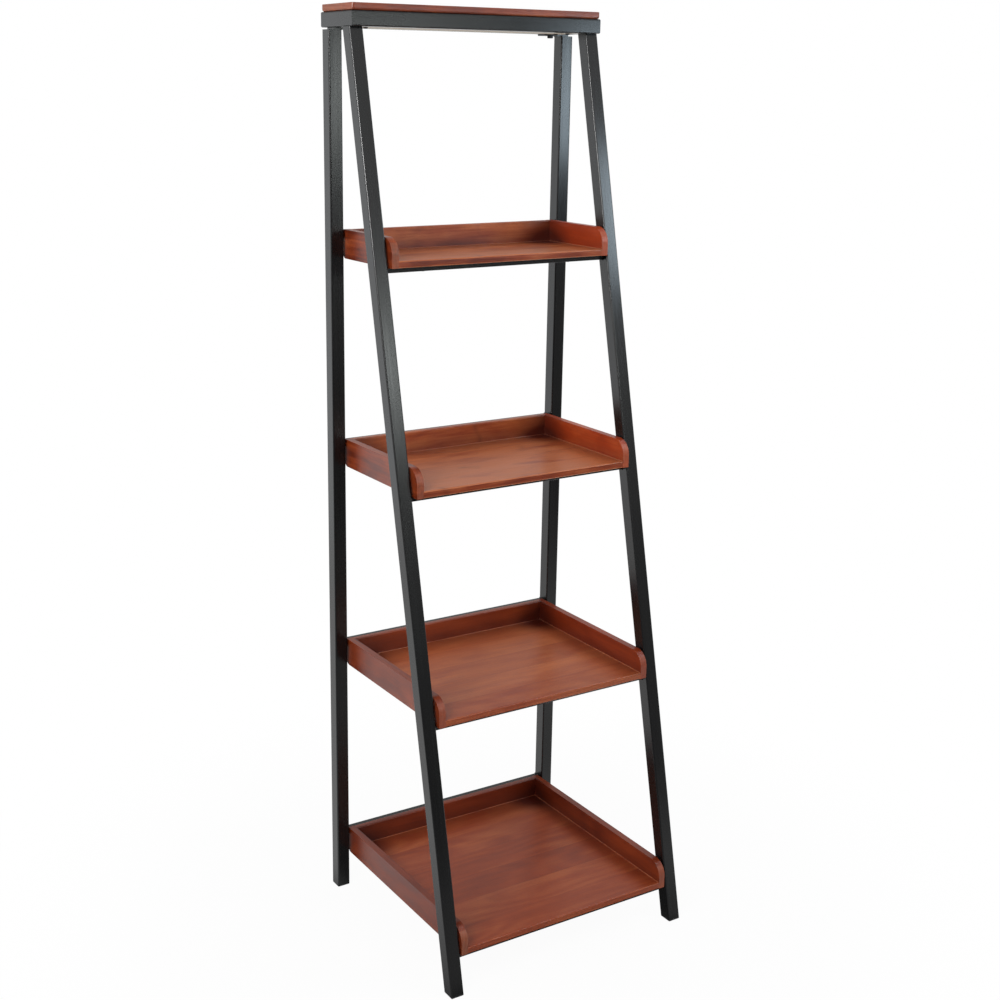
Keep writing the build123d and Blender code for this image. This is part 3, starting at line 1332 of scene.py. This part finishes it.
@dataclass
class WeldBeads(Group):
    """Weld beads where bars, legs and brackets meet, on the sides that aren't ground flush."""

    bead: float = 2.4 * MM
    ripple_pitch: float = 1.5 * MM
    ripple_height: float = 0.12
    point_pitch: float = 0.5 * MM
    flush: float = 0.3 * MM
    sides: int = 8

    def lines(self) -> list[list[Vector]]:
        """Lists the corner lines that the beads follow.

        Returns:
            The points of each line.
        """
        lines = []
        for sign, side in zip((-1, 1), SIDES):
            for number in TRAYS:
                low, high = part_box(f"front_bar_{number}")
                x = sign * (high.x - self.flush)
                profile = [(low.y, low.z), (high.y, low.z), (high.y, high.z)]
                lines.append([Vector((x, y, z)) for y, z in profile])
                low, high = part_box(f"rear_bar_{number}")
                profile = [(low.y, low.z), (high.y, low.z), (high.y, high.z), (low.y, high.z)]
                lines.append([Vector((x, y, z)) for y, z in profile])
            low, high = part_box(f"rear_leg_{side}")
            x = high.x if sign < 0 else low.x
            profile = [(x + sign * MM, low.y), (x, low.y + MM), (x, high.y - MM)]
            lines.append([Vector((x, y, high.z)) for x, y in profile])
        return lines

    def tree(self) -> GeometryGraph:
        """Builds the tree that turns each line into a rippled bead.

        Returns:
            The tree.
        """
        graph = GeometryGraph("weld_beads")
        bead, pitch, ripple, depth = map(graph.value, BEAD_SIZES)
        lines = graph.node("GeometryNodeMeshToCurve", {0: graph.entry.outputs["Geometry"]})
        feeds = {"Curve": lines.outputs[0], "Length": pitch}
        even = graph.node("GeometryNodeResampleCurve", feeds, mode="LENGTH")
        run = Signal(graph, graph.node("GeometryNodeSplineParameter").outputs["Length"])
        size = bead * 0.5 * (1.0 - depth * (run / ripple).wave())
        feeds = {"Resolution": self.sides, "Radius": 1.0}
        ring = graph.node("GeometryNodeCurvePrimitiveCircle", feeds, mode="RADIUS")
        feeds = {"Curve": even.outputs[0], "Profile Curve": ring.outputs[0], "Scale": size}
        body = graph.node("GeometryNodeCurveToMesh", {**feeds, "Fill Caps": True})
        graph.close(body.outputs[0])
        return graph

    def build(self) -> None:
        """Builds all the beads as one piece."""
        points: list[Vector] = []
        edges: list[tuple[int, int]] = []
        for line in self.lines():
            first = len(points)
            points += line
            edges += [(first + step, first + step + 1) for step in range(len(line) - 1)]
        data = bpy.data.meshes.new("weld_lines")
        data.from_pydata(points, edges, [])
        sizes = (self.bead, self.point_pitch, self.ripple_pitch, self.ripple_height)
        values = {**dict(zip(BEAD_SIZES, sizes)), "Finish": self.finishes.upright_steel}
        made = self.tree().apply(data, values)
        for face in made.polygons:
            face.use_smooth = True
        shown("weld_beads", made)


# ------------------------ studio
@dataclass(frozen=True)
class Lamp:
    """A rectangular soft box."""

    name: str
    place: Triple
    target: Triple
    size: Point
    power: float
    colour: Colour = WHITE
    lights_matt: bool = True
    mirrored: bool = True

    def build(self) -> None:
        """Hangs the lamp and turns it to its target."""
        data = bpy.data.lights.new(self.name, "AREA")
        data.shape = "RECTANGLE"
        data.size, data.size_y = self.size
        data.energy = self.power
        data.color = self.colour
        lamp = linked(self.name, data)
        lamp.visible_camera = False
        lamp.visible_diffuse = self.lights_matt
        lamp.visible_glossy = self.mirrored
        lamp.location = self.place
        aim = Vector(self.target) - Vector(self.place)
        lamp.rotation_euler = aim.to_track_quat("-Z", "Y").to_euler()


LAMPS = (
    Lamp("key_left", (-2.5, -1.2, 2.7), (0.0, 0.0, 0.9), (1.6, 1.6), 56.0),
    Lamp(
        "fill_right", (1.8, -2.2, 3.0), (0.2, 0.1, 1.0), (1.2, 1.2), 24.0, (0.9, 0.96, 1.0),
        mirrored=False,
    ),
    Lamp(
        "window_left", (0.86, -1.96, 1.48), (-0.24, 0.1, 1.48), (0.6, 0.27), 4.4, (0.93, 1.0, 0.98),
        lights_matt=False,
    ),
    Lamp(
        "window_right", (0.8, -0.54, 1.49), (0.24, 0.1, 1.49), (0.22, 0.3), 2.1, (0.72, 0.88, 1.0),
        lights_matt=False,
    ),
    Lamp(
        "glow_behind", (-1.3, 2.1, 1.0), (-0.2, 0.1, 1.0), (1.6, 1.9), 3.2, (0.84, 0.93, 1.0),
        lights_matt=False,
    ),
    Lamp(
        "glint_left", (-2.0, -1.1, 1.94), (-0.25, -0.1, 1.4), (0.4, 0.42), 38.0,
        lights_matt=False,
    ),
    Lamp("sky_right", (2.6, 0.8, 2.6), (0.0, 0.0, 0.9), (1.8, 1.8), 20.0, (0.82, 0.9, 1.0)),
)


@dataclass
class Studio:
    """A white sweep, soft boxes and the camera.

    The fields of the world and the floor shape what mirrors see; the floor's field is painted
    light with a painted shadow under the shelf. A pair is the stretch over which a change
    happens: of a direction's height or heading for the world, in metres for the floor.
    """

    camera_place: Triple = (-1.4052, -2.0948, 1.5071)
    heading: float = 31.571
    tilt_down: float = 14.768
    roll: float = -0.575
    lens: float = 53.05
    shift: Point = (0.0461, -0.0272)
    sensor: float = 36.0

    world_light: float = 0.34
    dim_side: float = 0.22
    dim_ceiling: float = 0.85
    dim_above: float = 0.5
    ceiling_rise: Point = (0.03, 0.27)
    above_rise: Point = (0.05, 0.35)
    front_to_behind: Point = (-0.5, 0.1)

    floor_size: float = 60.0
    floor_colour: Colour = (0.86, 0.86, 0.86)
    near_share: float = 0.96
    fade: Point = (0.3, 1.1)
    dim_floor: float = 0.06
    near_floor: float = 0.38
    near_floor_y: Point = (-1.9, -1.0)
    right_floor: float = 0.22
    right_floor_x: Point = (1.6, 2.6)
    behind_y: Point = (-0.4, 0.4)
    beside_x: Point = (0.3, 0.7)
    beside_y: Point = (-1.6, -0.6)
    beside_share: float = 0.7
    # Painted shadow of the shelf in the floor's glow that mirrors see.
    painted_shadow_x: Point = (0.3, 0.2)
    painted_shadow_y: Point = (0.35, 0.2)
    painted_shadow_dim: float = 0.85

    def build(self) -> None:
        """Sets up the whole studio."""
        bpy.context.scene.view_settings.view_transform = "Standard"
        self.world()
        self.floor()
        for lamp in LAMPS:
            lamp.build()
        self.camera()

    def world(self) -> None:
        """Makes the world white to look at, and dim towards the unlit front of the studio."""
        world = bpy.data.worlds.new("studio")
        world.use_nodes = True
        bpy.context.scene.world = world
        graph = Graph(world.node_tree)
        _, y, z = graph.parts(graph.node("ShaderNodeTexCoord").outputs["Generated"])
        front = between(self.dim_side, self.dim_ceiling, z.step(*self.ceiling_rise))
        behind = between(1.0, self.dim_above, z.step(*self.above_rise))
        mirrored = between(front, behind, y.step(*self.front_to_behind))
        straight, glossy = self._rays(graph)
        unseen = glossy * mirrored + (1.0 - glossy) * self.world_light
        feeds = {"Color": (*WHITE, 1.0), "Strength": between(straight, 1.0, unseen)}
        shade = graph.node("ShaderNodeBackground", feeds)
        graph.node("ShaderNodeOutputWorld", {"Surface": shade.outputs[0]})

    @staticmethod
    def _rays(graph: Graph) -> tuple[Signal, Signal]:
        """Tells what kind of ray meets the backdrop.

        Args:
            graph: The node tree of the backdrop.

        Returns:
            1 for rays that look straight at it or through glass, and 1 for mirrored rays.
        """
        path = graph.node("ShaderNodeLightPath").outputs
        kinds = ("Camera", "Glossy", "Transmission")
        camera, glossy, through = (Signal(graph, path[f"Is {kind} Ray"]) for kind in kinds)
        return graph.sum_of("MAXIMUM", camera, through), glossy

    def floor(self) -> None:
        """Lays the floor, pale by the feet and fading into the white backdrop."""
        half = self.floor_size / 2
        data = bpy.data.meshes.new("studio_floor")
        corners = [(x * half, y * half, 0.0) for x, y in ((-1, -1), (1, -1), (1, 1), (-1, 1))]
        data.from_pydata(corners, [], [(0, 1, 2, 3)])
        graph = FinishGraph("studio_floor")
        x, y, _ = graph.parts(graph.place())
        away = graph.sum_of("SQRT", x * x + y * y).step(*self.fade)
        # What mirrors see of the floor is painted light: lighter near the front, right, beside and
        # behind.
        mirrored = between(self.dim_floor, self.near_floor, y.step(*self.near_floor_y))
        mirrored = mirrored + self.right_floor * x.step(*self.right_floor_x)
        beside = x.step(*self.beside_x) * y.step(*self.beside_y) * self.beside_share
        mirrored = between(mirrored, 1.0, graph.sum_of("MAXIMUM", y.step(*self.behind_y), beside))
        # Painted shadow under the shelf.
        under = x.distance().step(*self.painted_shadow_x) * y.distance().step(*self.painted_shadow_y)
        mirrored = mirrored * (1.0 - self.painted_shadow_dim * under)
        straight, glossy = self._rays(graph)
        feeds = {"Color": (*self.floor_colour, 1.0)}
        matt = graph.node("ShaderNodeBsdfDiffuse", feeds)
        feeds = {"Color": (*WHITE, 1.0), "Strength": between(straight, 1.0, mirrored)}
        glow = graph.node("ShaderNodeEmission", feeds)
        share = straight * between(self.near_share, 1.0, away) + (1.0 - straight) * glossy
        feeds = {0: share, 1: matt.outputs[0], 2: glow.outputs[0]}
        mixed = graph.node("ShaderNodeMixShader", feeds)
        graph.node("ShaderNodeOutputMaterial", {"Surface": mixed.outputs[0]})
        data.materials.append(graph.material)
        floor = linked("studio_floor", data)

    def camera(self) -> None:
        """Places the camera from its heading to the right of +Y, its tilt and its roll."""
        angles = (self.heading, self.tilt_down, self.roll)
        heading, tilt, roll = (math.radians(angle) for angle in angles)
        right = Vector((math.cos(heading), -math.sin(heading), 0.0))
        ahead = Vector((math.sin(heading), math.cos(heading), 0.0))
        forward = ahead * math.cos(tilt) - UP * math.sin(tilt)
        raised = ahead * math.sin(tilt) + UP * math.cos(tilt)
        axis_x = right * math.cos(roll) - raised * math.sin(roll)
        axis_y = right * math.sin(roll) + raised * math.cos(roll)
        turn = Matrix((axis_x, axis_y, -forward)).transposed().to_4x4()
        data = bpy.data.cameras.new("camera")
        data.sensor_width = self.sensor
        data.lens = self.lens
        data.shift_x, data.shift_y = self.shift
        camera = linked("camera", data)
        camera.matrix_world = Matrix.Translation(self.camera_place) @ turn
        bpy.context.scene.camera = camera


def main() -> None:
    """Builds the shelf and its studio."""
    logging.basicConfig(level=logging.INFO, format="%(name)s %(message)s")
    finishes = Finishes()
    Top(finishes).build()
    for number in TRAYS:
        Tray(finishes, number).build()
    for group in (Ladders, WoodScrews, WeldBeads):
        group(finishes).build()
    Studio().build()
    bpy.context.view_layer.update()


if __name__ == "__main__":
    main()
